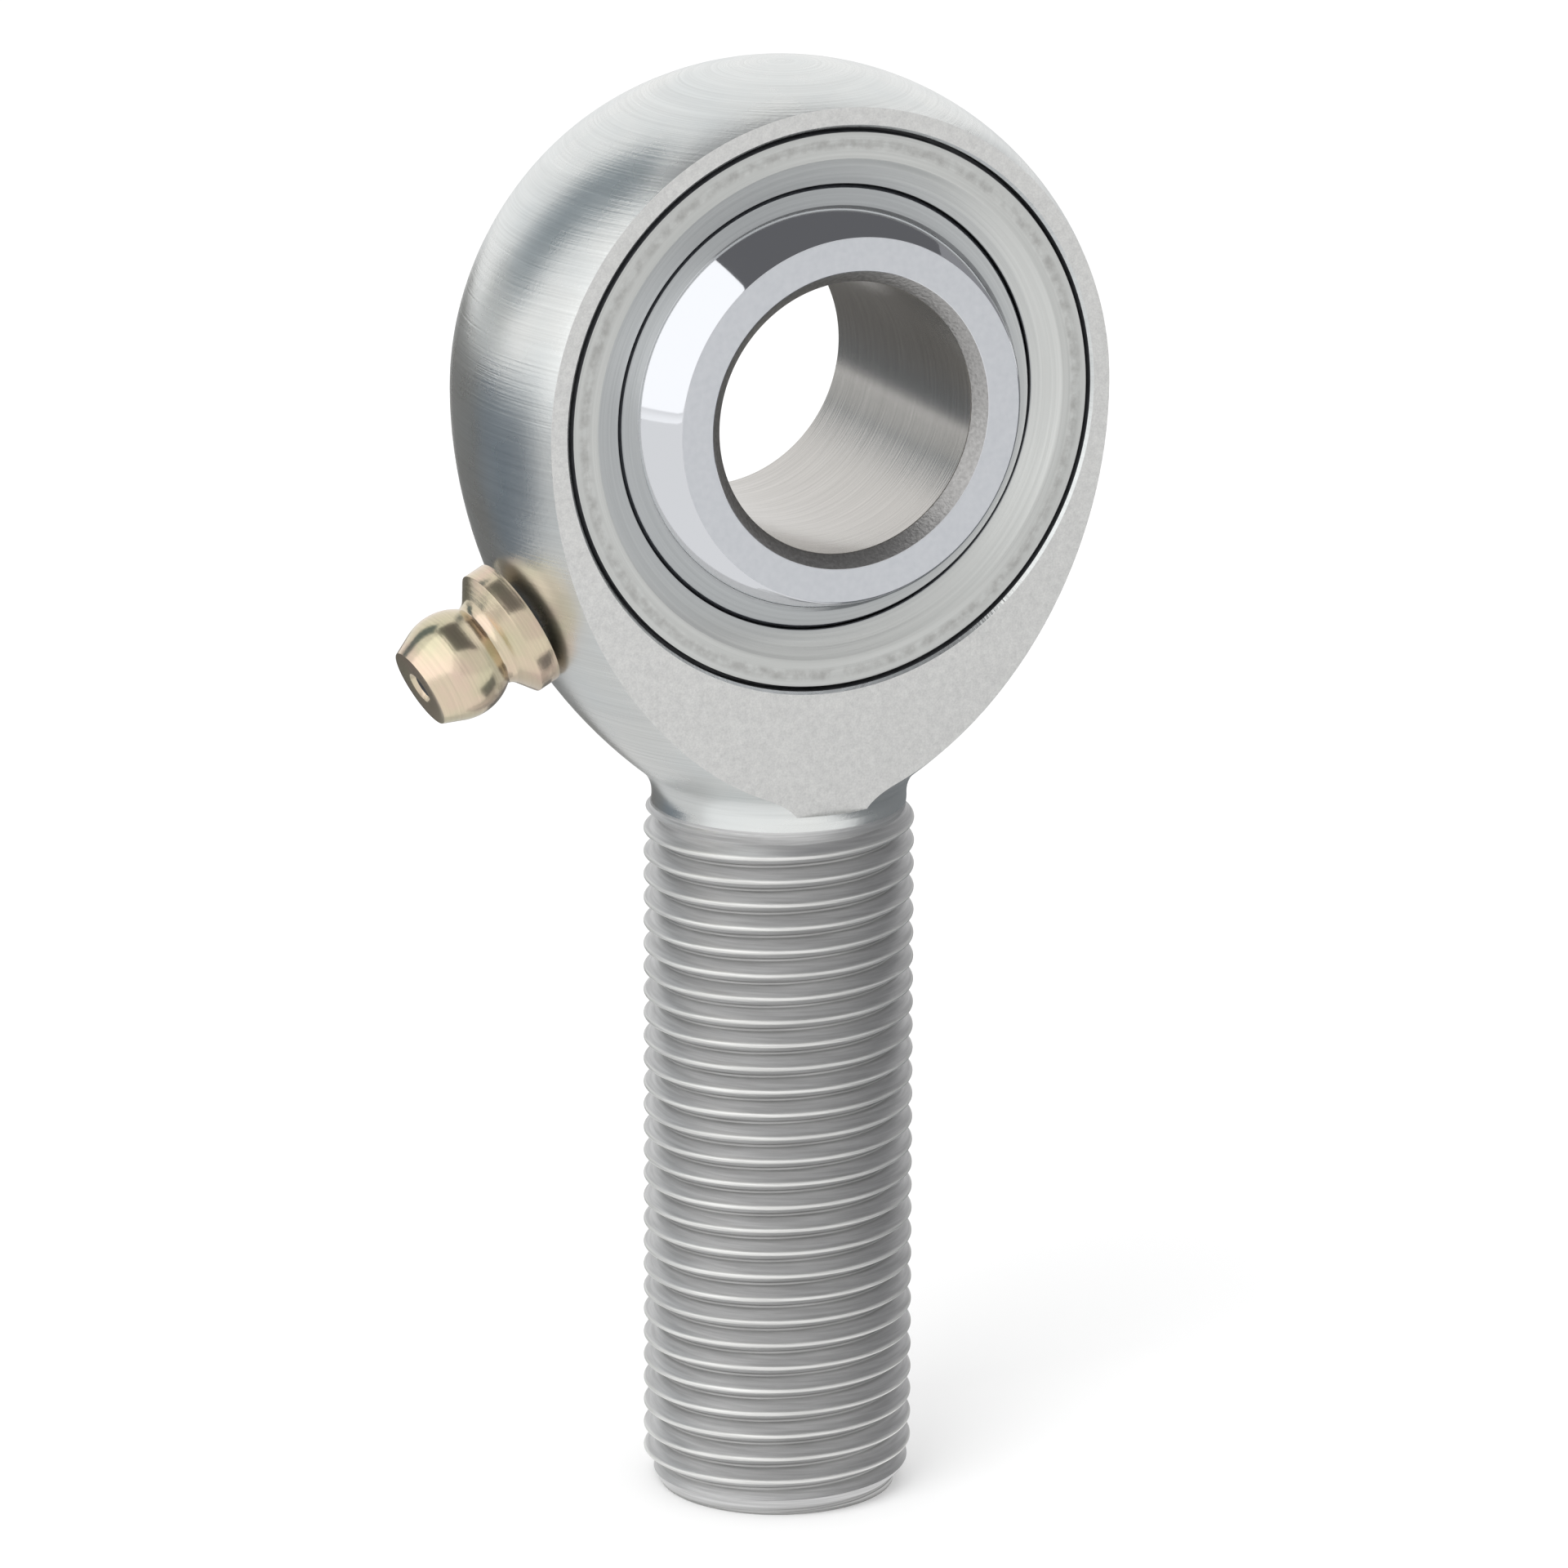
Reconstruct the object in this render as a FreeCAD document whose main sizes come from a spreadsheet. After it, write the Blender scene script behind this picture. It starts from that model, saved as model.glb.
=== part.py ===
# Rod end with a five-eighths inch male thread and a grease nipple, in millimetres.
# The origin is the centre of the ball. The bore runs along Y and the shank points down -Z.
import FreeCAD, Part
import Sketcher
import math
import os
import re

doc = FreeCAD.newDocument("RodEnd")

# Driving sizes, then the sizes that follow from them
SIZES = [
    ("ballDiameter", "28.575", "one and one eighth inch sphere"),
    ("ballWidth", "19.05", "across the two flat sides"),
    ("boreDiameter", "15.875", "hole for a five-eighths inch bolt"),
    ("boreChamfer", "0.76", "at both ends of the bore, 45 degrees"),
    ("ballClearance", "0.05", "radial gap between ball and race"),
    ("ringWall", "2.1625", "race ring at the middle of its race"),
    ("ringRecess", "0.1375", "flats of the head to the sides of the ring"),
    ("ringChamfer", "0.35", "outer edges of the race ring"),
    ("ringFaceWidth", "1.8", "outside of the ring to the inner edge of its flat side"),
    ("countersinkDepth", "0.85", "flat side of the ring to the edge of the race"),
    ("feedGrooveWidth", "3.0", "grease groove round the outside of the ring"),
    ("feedGrooveDepth", "0.7", "the same groove"),
    ("raceGrooveWidth", "2.4", "grease groove inside the race"),
    ("raceGrooveDepth", "0.45", "the same groove"),
    ("feedHoleDiameter", "2.0", "holes that join the two grooves"),
    ("feedHoleCount", "4", "evenly round the ring"),
    ("headWall", "2.55", "head outside the ring, for a one and a half inch head"),
    ("headWidth", "14.275", "across the milled flats"),
    ("flankRadius", "29.0", "arc from the widest point of the head down to the neck"),
    ("seatChamfer", "0.3", "edges of the seat for the ring"),
    ("flatRunout", "0.65", "milled flats past the foot of the flank"),
    ("neckLength", "2.194", "foot of the flank to the first thread"),
    ("threadLength", "41.275", "end of the shank to the first thread"),
    ("threadDiameter", "15.8", "over the crests of the thread"),
    ("threadPitch", "1.4111", "eighteen threads to the inch"),
    ("neckFillet", "2.2", "between the flank and the neck"),
    ("endFaceDiameter", "13.8", "flat end of the shank"),
    ("endChamferLength", "1.8", "along the shank"),
    ("nippleAngle", "27.5", "grease nipple, degrees below the level"),
    ("nippleOffset", "3.3", "ball centre to the axis of the nipple"),
    ("nippleStandoff", "0.15", "flange to the curved head, on the axis"),
    ("driveDiameter", "4.8", "shank of the nipple, pressed into the head"),
    ("driveLength", "3.0", "the same shank"),
    ("driveLead", "0.3", "chamfer that leads it in"),
    ("socketSpare", "0.2", "hole beyond the end of that shank"),
    ("passageDiameter", "2.5", "grease passage from the socket to the ring"),
    ("flangeDiameter", "7.8", "round flange of the nipple"),
    ("flangeThickness", "1.25", "rim of the flange"),
    ("flangeConeLength", "1.0", "cone from the rim to the neck"),
    ("nippleNeckDiameter", "5.1", "neck under the nipple's head"),
    ("nippleHeadDiameter", "6.4", "round head that a grease coupler grips"),
    ("nippleHeadHeight", "4.55", "flange's back to the centre of that head"),
    ("nippleConeAngle", "24.0", "flank of the tip against the axis"),
    ("nippleHeight", "7.04", "flange's back to the tip"),
    ("inletDiameter", "1.5", "grease inlet in the tip"),
    ("inletSinkDiameter", "2.0", "countersink of the inlet"),
    ("inletLength", "0.5", "tip to the top of the valve seat"),
    ("valveBoreDiameter", "3.0", "chamber for the check ball and its spring"),
    ("crimpDiameter", "1.7", "closed-in end that carries the spring"),
    ("crimpLength", "0.4", "the same end"),
    ("checkBallDiameter", "2.4", "check ball"),
    ("valveClearance", "0.03", "check ball to its seat, and spring to its ends"),
    ("springWire", "0.3", "wire of the check spring"),
    ("springDiameter", "1.9", "centre of the wire across the coil"),
    ("springTurns", "5", "turns of the coil"),
    ("faceDiameter", "=sqrt(ballDiameter ^ 2 - ballWidth ^ 2)", "outer edge of the ball's flat sides"),
    ("raceRadius", "=ballDiameter / 2 + ballClearance", "spherical race"),
    ("ringDiameter", "=2 * (raceRadius + ringWall)", "outside of the ring, and its seat in the head"),
    ("ringWidth", "=headWidth - 2 * ringRecess", "race ring along the bore"),
    ("mouthDepth", "=ringWidth / 2 - countersinkDepth", "edge of the race from the middle plane"),
    ("mouthRadius", "=sqrt(raceRadius ^ 2 - mouthDepth ^ 2)", "edge of the race from the bore's axis"),
    ("grooveEdgeRadius", "=sqrt(raceRadius ^ 2 - raceGrooveWidth ^ 2 / 4)", "edge of the race groove"),
    ("neckDiameter", "=threadDiameter - 0.6495 * threadPitch", "blank on which the thread is rolled"),
    ("neckChamfer", "=(threadDiameter - neckDiameter) / 2", "neck up to the thread, 45 degrees"),
    ("headDiameter", "=ringDiameter + 2 * headWall", "round head"),
    ("flankCentre", "=flankRadius - headDiameter / 2", "centre of the flank's arc, past the axis"),
    ("neckTop", "=sqrt(flankRadius ^ 2 - (neckDiameter / 2 + flankCentre) ^ 2)", "foot of the flank"),
    ("flatEnd", "=neckTop + flatRunout", "ball centre to the lower end of the flats"),
    ("threadStart", "=neckTop + neckLength", "ball centre to the first thread"),
    ("centreToEnd", "=threadStart + threadLength", "ball centre to the end of the shank"),
    ("flankAcross", "=flankCentre * sin(nippleAngle * 1 deg) - nippleOffset", "arc centre off the axis"),
    ("headSurface", "=sqrt(flankRadius ^ 2 - flankAcross ^ 2) - flankCentre * cos(nippleAngle * 1 deg)",
     "head's surface along the nipple's axis"),
    ("nippleSeat", "=headSurface + nippleStandoff", "back of the flange along the nipple's axis"),
    ("nippleX", "=nippleOffset * sin(nippleAngle * 1 deg) - nippleSeat * cos(nippleAngle * 1 deg)",
     "place of the flange's back"),
    ("nippleZ", "=-nippleOffset * cos(nippleAngle * 1 deg) - nippleSeat * sin(nippleAngle * 1 deg)",
     "place of the flange's back"),
    ("nippleTurn", "=90 + nippleAngle", "turn from straight up to the nipple's axis"),
    ("nippleNeckTop", "=nippleHeadHeight - sqrt(nippleHeadDiameter ^ 2 - nippleNeckDiameter ^ 2) / 2",
     "neck meets the round head"),
    ("tipConeStart", "=nippleHeadHeight + nippleHeadDiameter / 2 * sin(nippleConeAngle * 1 deg)",
     "round head runs into the tip's cone"),
    ("tipRadius", "=nippleHeadDiameter / 2 * cos(nippleConeAngle * 1 deg)"
     " - (nippleHeight - tipConeStart) * tan(nippleConeAngle * 1 deg)", "flat tip of the nipple"),
    ("inletSink", "=(inletSinkDiameter - inletDiameter) / 2", "depth of the countersink"),
    ("valveSeatTop", "=nippleHeight - inletLength", "small end of the valve seat"),
    ("valveSeatDepth", "=(valveBoreDiameter - inletDiameter) / 2", "valve seat, 45 degrees"),
    ("checkBallDrop", "=(checkBallDiameter / 2 + valveClearance) * sqrt(2)", "ball centre to seat apex"),
    ("checkBallHeight", "=valveSeatTop + inletDiameter / 2 - checkBallDrop", "closed check ball's centre"),
    ("springBottom", "=crimpLength - driveLength + springWire / 2 + valveClearance", "first turn's centre"),
    ("springFlat", "=springWire / 2 * cos(30 deg)", "middle of the wire to its sides"),
    ("springReach", "=(checkBallDiameter + springWire) / 2 + valveClearance", "ball centre to wire centre"),
    ("springTop", "=checkBallHeight - sqrt(springReach ^ 2 - springDiameter ^ 2 / 4)", "last turn's centre"),
]

sheet = doc.addObject("Spreadsheet::Sheet", "Sizes")
for row, (alias, content, note) in enumerate(SIZES, start=1):
    sheet.set("A" + str(row), alias)
    sheet.set("B" + str(row), content)
    sheet.set("C" + str(row), note)
    sheet.setAlias("B" + str(row), alias)
doc.recompute()

# A sketch's own origin, and the points of a line or an arc, by their numbers there
ORIGIN_POINT = (-1, 1)
START, END, CENTRE = range(1, 4)
IN_LINE = {"DistanceX": "Vertical", "DistanceY": "Horizontal"}
ALIASES = [alias for alias, content, note in SIZES]
SAME_PLACE = 1e-6


def sized(expression):
    """An expression in plain size names, with each name sent to the sheet."""
    names = "|".join(ALIASES)
    return re.sub(r"\b(%s)\b" % names, r"Sizes.\1", expression)


def number(expression):
    """The value that such an expression has now."""
    return float(sheet.evalExpression(sized(expression)))


def new_body(name, label):
    body = doc.addObject("PartDesign::Body", name)
    body.Label = label
    return body


def origin_item(body, role):
    """One of the planes or axes that belong to the body itself."""
    return [item for item in body.Origin.OriginFeatures if item.Role == role][0]


def new_sketch(body, role, name):
    sketch = body.newObject("Sketcher::SketchObject", name)
    sketch.AttachmentSupport = (origin_item(body, role), [""])
    sketch.MapMode = "FlatFace"
    return sketch


def hold(sketch, kind, item, point, expression):
    """Hold a point of the sketch at a distance from the sketch's origin."""
    if expression == "0":
        sketch.addConstraint(Sketcher.Constraint(IN_LINE[kind], *ORIGIN_POINT, item, point))
        return
    value = number(expression)
    place = sketch.addConstraint(Sketcher.Constraint(kind, *ORIGIN_POINT, item, point, value))
    sketch.setExpression("Constraints[%d]" % place, sized(expression))


def first_places(corners, arcs):
    """Where the corners lie now. A coordinate left as None follows from the arc that ends there."""
    places = []
    for index, (across, along) in enumerate(corners):
        if across is not None and along is not None:
            places.append((number(across), number(along)))
            continue
        centre_x, centre_y = [number(value) for value in arcs[index - 1]]
        reach = math.hypot(places[-1][0] - centre_x, places[-1][1] - centre_y)
        if across is None:
            y = number(along)
            x = centre_x + math.sqrt(reach ** 2 - (y - centre_y) ** 2)
        else:
            x = number(across)
            y = centre_y + math.sqrt(reach ** 2 - (x - centre_x) ** 2)
        places.append((x, y))
    return places


def draw_outline(sketch, corners, arcs={}):
    """Draw a closed outline through corners, each an x and a y expression.
    A side numbered in arcs is an arc about the centre given there. The others are straight."""
    places = [FreeCAD.Vector(x, y, 0) for x, y in first_places(corners, arcs)]
    sides = []
    for index, here in enumerate(places):
        there = places[(index + 1) % len(places)]
        if index not in arcs:
            sides.append((sketch.addGeometry(Part.LineSegment(here, there)), START, END))
            continue
        centre = FreeCAD.Vector(*[number(value) for value in arcs[index]], 0)
        turns_left = (here - centre).cross(there - centre).z > 0
        ends = [here, there] if turns_left else [there, here]
        angles = [math.atan2(end.y - centre.y, end.x - centre.x) for end in ends]
        circle = Part.Circle(centre, FreeCAD.Vector(0, 0, 1), (here - centre).Length)
        item = sketch.addGeometry(Part.ArcOfCircle(circle, *angles))
        sides.append((item, START, END) if turns_left else (item, END, START))
    for index, (item, near, far) in enumerate(sides):
        next_item, next_near, next_far = sides[(index + 1) % len(sides)]
        sketch.addConstraint(Sketcher.Constraint("Coincident", item, far, next_item, next_near))
        for kind, expression in zip(("DistanceX", "DistanceY"), corners[index]):
            if expression is not None:
                hold(sketch, kind, item, near, expression)
        if index in arcs:
            for kind, expression in zip(("DistanceX", "DistanceY"), arcs[index]):
                hold(sketch, kind, item, CENTRE, expression)


def draw_circle(sketch, across, along, diameter):
    place = FreeCAD.Vector(number(across), number(along), 0)
    circle = Part.Circle(place, FreeCAD.Vector(0, 0, 1), number(diameter) / 2)
    item = sketch.addGeometry(circle)
    hold(sketch, "DistanceX", item, CENTRE, across)
    hold(sketch, "DistanceY", item, CENTRE, along)
    size = sketch.addConstraint(Sketcher.Constraint("Diameter", item, number(diameter)))
    sketch.setExpression("Constraints[%d]" % size, sized(diameter))


def turn(body, sketch, kind="Revolution"):
    """A full turn of the sketch about its own upright axis, added or cut away."""
    feature = body.newObject("PartDesign::" + kind, kind)
    feature.Profile = sketch
    feature.ReferenceAxis = (sketch, ["V_Axis"])
    feature.Angle = 360
    sketch.Visibility = False
    return feature


def place_on_nipple_axis(item):
    """Stand a piece on the nipple's seat, with its own Z axis pointing outwards."""
    quarter_turn = FreeCAD.Rotation(FreeCAD.Vector(0, -1, 0), 90)
    item.Placement = FreeCAD.Placement(FreeCAD.Vector(), quarter_turn)
    item.setExpression("Placement.Base.x", sized("nippleX"))
    item.setExpression("Placement.Base.z", sized("nippleZ"))
    item.setExpression("Placement.Rotation.Angle", sized("nippleTurn"))


def make_housing():
    """Head and shank, turned in one piece, with two milled flats, the ring's seat and the nipple's
    socket. The thread is rolled on the shank, which has the diameter over its crests here."""
    body = new_body("Housing", "housing")
    profile = new_sketch(body, "XZ_Plane", "HousingProfile")
    draw_outline(profile, [
        ("0", "-centreToEnd"),
        ("endFaceDiameter / 2", "-centreToEnd"),
        ("threadDiameter / 2", "endChamferLength - centreToEnd"),
        ("threadDiameter / 2", "-threadStart"),
        ("neckDiameter / 2", "neckChamfer - threadStart"),
        ("neckDiameter / 2", "-neckTop"),
        (None, "0"),
        ("0", None),
    ], arcs={5: ("-flankCentre", "0"), 6: ("0", "0")})
    turned = turn(body, profile)
    doc.recompute()

    fillet = body.newObject("PartDesign::Fillet", "NeckFillet")
    fillet.Base = (turned, ring_edges(turned.Shape, "neckDiameter / 2", "-neckTop"))
    fillet.setExpression("Radius", sized("neckFillet"))

    side = new_sketch(body, "YZ_Plane", "FlatSide")
    draw_outline(side, [
        ("headWidth / 2", "-flatEnd"),
        ("headDiameter", "-flatEnd"),
        ("headDiameter", "headDiameter"),
        ("headWidth / 2", "headDiameter"),
    ])
    flat = body.newObject("PartDesign::Pocket", "Flat")
    flat.Profile = side
    flat.Type = "ThroughAll"
    flat.Midplane = True
    other_flat = body.newObject("PartDesign::Mirrored", "OtherFlat")
    other_flat.Originals = [flat]
    other_flat.MirrorPlane = (origin_item(body, "XZ_Plane"), [""])
    body.Tip = other_flat

    seat = new_sketch(body, "XY_Plane", "SeatProfile")
    draw_outline(seat, [
        ("0", "-headWidth"),
        ("ringDiameter / 2 + seatChamfer", "-headWidth"),
        ("ringDiameter / 2 + seatChamfer", "-headWidth / 2"),
        ("ringDiameter / 2", "seatChamfer - headWidth / 2"),
        ("ringDiameter / 2", "headWidth / 2 - seatChamfer"),
        ("ringDiameter / 2 + seatChamfer", "headWidth / 2"),
        ("ringDiameter / 2 + seatChamfer", "headWidth"),
        ("0", "headWidth"),
    ])
    turn(body, seat, "Groove")

    socket = new_sketch(body, "XZ_Plane", "SocketProfile")
    quarter_turn = FreeCAD.Rotation(FreeCAD.Vector(0, 0, 1), 90)
    socket.AttachmentOffset = FreeCAD.Placement(FreeCAD.Vector(), quarter_turn)
    socket.setExpression("AttachmentOffset.Base.x", sized("nippleX"))
    socket.setExpression("AttachmentOffset.Base.y", sized("nippleZ"))
    socket.setExpression("AttachmentOffset.Rotation.Angle", sized("nippleTurn"))
    draw_outline(socket, [
        ("0", "-nippleSeat"),
        ("passageDiameter / 2", "-nippleSeat"),
        ("passageDiameter / 2", "-driveLength - socketSpare"),
        ("driveDiameter / 2", "-driveLength - socketSpare"),
        ("driveDiameter / 2", "flangeThickness"),
        ("0", "flangeThickness"),
    ])
    turn(body, socket, "Groove")
    return body


def ring_edges(shape, radius, height):
    """Names of the round edges that have this radius and lie at this height."""
    names = []
    for place, edge in enumerate(shape.Edges, start=1):
        if edge.Degenerated or edge.Curve.TypeId != "Part::GeomCircle":
            continue
        off_size = abs(edge.Curve.Radius - number(radius))
        off_height = abs(edge.Curve.Center.z - number(height))
        if max(off_size, off_height) < SAME_PLACE:
            names.append("Edge%d" % place)
    return names


def make_outer_ring():
    """Race ring: a spherical seat for the ball, with grease grooves inside and out."""
    body = new_body("OuterRing", "outer_ring")
    profile = new_sketch(body, "XY_Plane", "RingProfile")
    draw_outline(profile, [
        ("ringDiameter / 2 - ringChamfer", "-ringWidth / 2"),
        ("ringDiameter / 2", "ringChamfer - ringWidth / 2"),
        ("ringDiameter / 2", "-feedGrooveWidth / 2"),
        ("ringDiameter / 2 - feedGrooveDepth", "-feedGrooveWidth / 2"),
        ("ringDiameter / 2 - feedGrooveDepth", "feedGrooveWidth / 2"),
        ("ringDiameter / 2", "feedGrooveWidth / 2"),
        ("ringDiameter / 2", "ringWidth / 2 - ringChamfer"),
        ("ringDiameter / 2 - ringChamfer", "ringWidth / 2"),
        ("ringDiameter / 2 - ringFaceWidth", "ringWidth / 2"),
        ("mouthRadius", "mouthDepth"),
        (None, "raceGrooveWidth / 2"),
        ("raceRadius + raceGrooveDepth", "raceGrooveWidth / 2"),
        ("raceRadius + raceGrooveDepth", "-raceGrooveWidth / 2"),
        ("grooveEdgeRadius", "-raceGrooveWidth / 2"),
        (None, "-mouthDepth"),
        ("ringDiameter / 2 - ringFaceWidth", "-ringWidth / 2"),
    ], arcs={9: ("0", "0"), 13: ("0", "0")})
    turn(body, profile)

    hole = new_sketch(body, "XY_Plane", "FeedHoleCircle")
    draw_circle(hole, "0", "0", "feedHoleDiameter")
    feed = body.newObject("PartDesign::Pocket", "FeedHole")
    feed.Profile = hole
    feed.Type = "ThroughAll"
    feeds = body.newObject("PartDesign::PolarPattern", "FeedHoles")
    feeds.Originals = [feed]
    feeds.Axis = (origin_item(body, "Y_Axis"), [""])
    feeds.Angle = 360
    feeds.setExpression("Occurrences", sized("feedHoleCount"))
    body.Tip = feeds
    return body


def make_ball():
    """Inner ring: a sphere with two flat sides and a bore for the bolt."""
    body = new_body("Ball", "ball")
    profile = new_sketch(body, "XY_Plane", "BallProfile")
    draw_outline(profile, [
        ("boreDiameter / 2 + boreChamfer", "-ballWidth / 2"),
        ("faceDiameter / 2", "-ballWidth / 2"),
        (None, "ballWidth / 2"),
        ("boreDiameter / 2 + boreChamfer", "ballWidth / 2"),
        ("boreDiameter / 2", "ballWidth / 2 - boreChamfer"),
        ("boreDiameter / 2", "boreChamfer - ballWidth / 2"),
    ], arcs={1: ("0", "0")})
    turn(body, profile)
    return body


def make_nipple_body():
    """Grease nipple: drive shank, flange, neck and round head, bored for its valve."""
    body = new_body("NippleBody", "nipple_body")
    place_on_nipple_axis(body)
    profile = new_sketch(body, "XZ_Plane", "NippleProfile")
    draw_outline(profile, [
        ("crimpDiameter / 2", "-driveLength"),
        ("driveDiameter / 2 - driveLead", "-driveLength"),
        ("driveDiameter / 2", "driveLead - driveLength"),
        ("driveDiameter / 2", "0"),
        ("flangeDiameter / 2", "0"),
        ("flangeDiameter / 2", "flangeThickness"),
        ("nippleNeckDiameter / 2", "flangeThickness + flangeConeLength"),
        ("nippleNeckDiameter / 2", "nippleNeckTop"),
        (None, "tipConeStart"),
        ("tipRadius", "nippleHeight"),
        ("inletSinkDiameter / 2", "nippleHeight"),
        ("inletDiameter / 2", "nippleHeight - inletSink"),
        ("inletDiameter / 2", "valveSeatTop"),
        ("valveBoreDiameter / 2", "valveSeatTop - valveSeatDepth"),
        ("valveBoreDiameter / 2", "crimpLength - driveLength"),
        ("crimpDiameter / 2", "crimpLength - driveLength"),
    ], arcs={7: ("0", "nippleHeadHeight")})
    turn(body, profile)
    return body


def make_check_ball():
    """Steel ball that closes the inlet of the nipple."""
    body = new_body("CheckBall", "nipple_check_ball")
    place_on_nipple_axis(body)
    sphere = body.newObject("PartDesign::AdditiveSphere", "Sphere")
    sphere.setExpression("Radius", sized("checkBallDiameter / 2"))
    sphere.setExpression("Placement.Base.z", sized("checkBallHeight"))
    return body


def make_spring():
    """Coil spring that holds the check ball against the inlet. Its wire has six sides here, to keep
    the faces of a piece this small few."""
    body = new_body("CheckSpring", "nipple_spring")
    place_on_nipple_axis(body)
    wire = new_sketch(body, "XZ_Plane", "SpringWire")
    draw_outline(wire, [
        ("(springDiameter + springWire) / 2", "springBottom"),
        ("springDiameter / 2 + springWire / 4", "springBottom + springFlat"),
        ("springDiameter / 2 - springWire / 4", "springBottom + springFlat"),
        ("(springDiameter - springWire) / 2", "springBottom"),
        ("springDiameter / 2 - springWire / 4", "springBottom - springFlat"),
        ("springDiameter / 2 + springWire / 4", "springBottom - springFlat"),
    ])
    coil = body.newObject("PartDesign::AdditiveHelix", "Coil")
    coil.Profile = wire
    coil.ReferenceAxis = (wire, ["V_Axis"])
    coil.Mode = "height-turns-angle"
    coil.setExpression("Height", sized("springTop - springBottom"))
    coil.setExpression("Turns", sized("springTurns"))
    return body


bodies = [
    make_housing(),
    make_outer_ring(),
    make_ball(),
    make_nipple_body(),
    make_check_ball(),
    make_spring(),
]
doc.recompute()

for item in doc.Objects:
    if "Invalid" in item.State or "Error" in item.State:
        raise RuntimeError("%s could not be made: %s" % (item.Label, item.State))

os.makedirs("parts", exist_ok=True)
for body in bodies:
    if body.Shape.isNull() or not body.Shape.isValid() or len(body.Shape.Solids) != 1:
        raise RuntimeError("%s is not one sound solid" % body.Label)
    body.Shape.exportStep("parts/%s.step" % body.Label)
    box = body.Shape.BoundBox
    print("%-18s %9.2f cubic mm, x %6.2f to %6.2f, y %6.2f to %6.2f, z %6.2f to %6.2f" % (
        body.Label, body.Shape.Volume, box.XMin, box.XMax, box.YMin, box.YMax, box.ZMin, box.ZMax))
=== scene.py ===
# Rod end: plated steel head and shank, race ring, chrome ball and a grease nipple
import math
import bpy
from mathutils import Matrix, Vector


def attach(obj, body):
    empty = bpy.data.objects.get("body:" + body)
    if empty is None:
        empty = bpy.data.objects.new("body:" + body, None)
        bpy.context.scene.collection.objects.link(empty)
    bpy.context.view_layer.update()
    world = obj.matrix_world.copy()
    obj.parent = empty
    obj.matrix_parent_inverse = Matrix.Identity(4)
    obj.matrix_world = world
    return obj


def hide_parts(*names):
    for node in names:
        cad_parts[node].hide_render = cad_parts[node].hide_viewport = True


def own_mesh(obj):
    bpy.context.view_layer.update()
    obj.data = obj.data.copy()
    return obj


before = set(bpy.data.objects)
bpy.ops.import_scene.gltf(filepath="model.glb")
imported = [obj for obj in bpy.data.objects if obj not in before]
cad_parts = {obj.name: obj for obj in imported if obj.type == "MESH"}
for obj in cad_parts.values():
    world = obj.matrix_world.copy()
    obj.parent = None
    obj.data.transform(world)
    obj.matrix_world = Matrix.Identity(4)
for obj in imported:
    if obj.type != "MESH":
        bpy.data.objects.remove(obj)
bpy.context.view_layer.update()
mm = 0.001
merge = 0.002   # mm, points closer than this are one
hair = 0.01   # mm, slack for finding faces by where they are
print("frame loaded")


def toLinear(hexColour):
    levels = [int(hexColour[i:i + 2], 16) / 255 for i in (1, 3, 5)]
    return [v / 12.92 if v <= 0.04045 else ((v + 0.055) / 1.055) ** 2.4 for v in levels] + [1]


def addNode(tree, kind, values):
    # a value is a setting of the node, a number for an input, or the output that is linked to it
    node = tree.nodes.new(kind)
    for key, value in values.items():
        if isinstance(value, bpy.types.NodeSocket):
            tree.links.new(value, node.inputs[key])
        elif isinstance(key, int) or key in node.inputs:
            node.inputs[key].default_value = value
        else:
            setattr(node, key, value)
    return node


def addMath(tree, operation, first, second):
    return addNode(tree, "ShaderNodeMath", {"operation": operation, 0: first, 1: second}).outputs[0]


def addNoise(tree, place, scale, detail=2.0, roughness=0.5):
    values = {"Scale": scale, "Detail": detail, "Roughness": roughness, "Vector": place}
    return addNode(tree, "ShaderNodeTexNoise", values).outputs["Fac"]


def addStretch(tree, place, scale):
    return addNode(tree, "ShaderNodeMapping", {"Scale": scale, "Vector": place}).outputs[0]


def addLength(tree, vector):
    return addNode(tree, "ShaderNodeVectorMath", {"operation": "LENGTH", 0: vector}).outputs["Value"]


def addRange(tree, value, fromMin, fromMax, toMin, toMax, style="LINEAR"):
    values = {"interpolation_type": style, "From Min": fromMin, "From Max": fromMax, "To Min": toMin,
              "To Max": toMax, "Value": value}
    return addNode(tree, "ShaderNodeMapRange", values).outputs[0]


def addBlend(tree, factor, first, second):
    # from one colour to another, each a hex value or an output
    first, second = [toLinear(c) if isinstance(c, str) else c for c in (first, second)]
    return addNode(tree, "ShaderNodeMix", {"data_type": "RGBA", 0: factor, 6: first, 7: second}).outputs[2]


def addTone(tree, colour, tone):
    # a plain number makes the colour darker or lighter
    values = {"data_type": "RGBA", "blend_type": "MULTIPLY", 0: 1.0, 6: colour, 7: tone}
    return addNode(tree, "ShaderNodeMix", values).outputs[2]


def addRamp(tree, value, stops):
    ramp = addNode(tree, "ShaderNodeValToRGB", {"Fac": value})
    elements = ramp.color_ramp.elements
    for element, (position, tone) in zip(elements, (stops[0], stops[-1])):
        element.position = position
        element.color = toLinear(tone)
    for position, tone in stops[1:-1]:
        elements.new(position).color = toLinear(tone)
    return ramp.outputs[0]


def addRelief(tree, height, strength, depth=0.02):
    values = {"Strength": strength, "Distance": depth * mm, "Height": height}
    return addNode(tree, "ShaderNodeBump", values).outputs[0]


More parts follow.
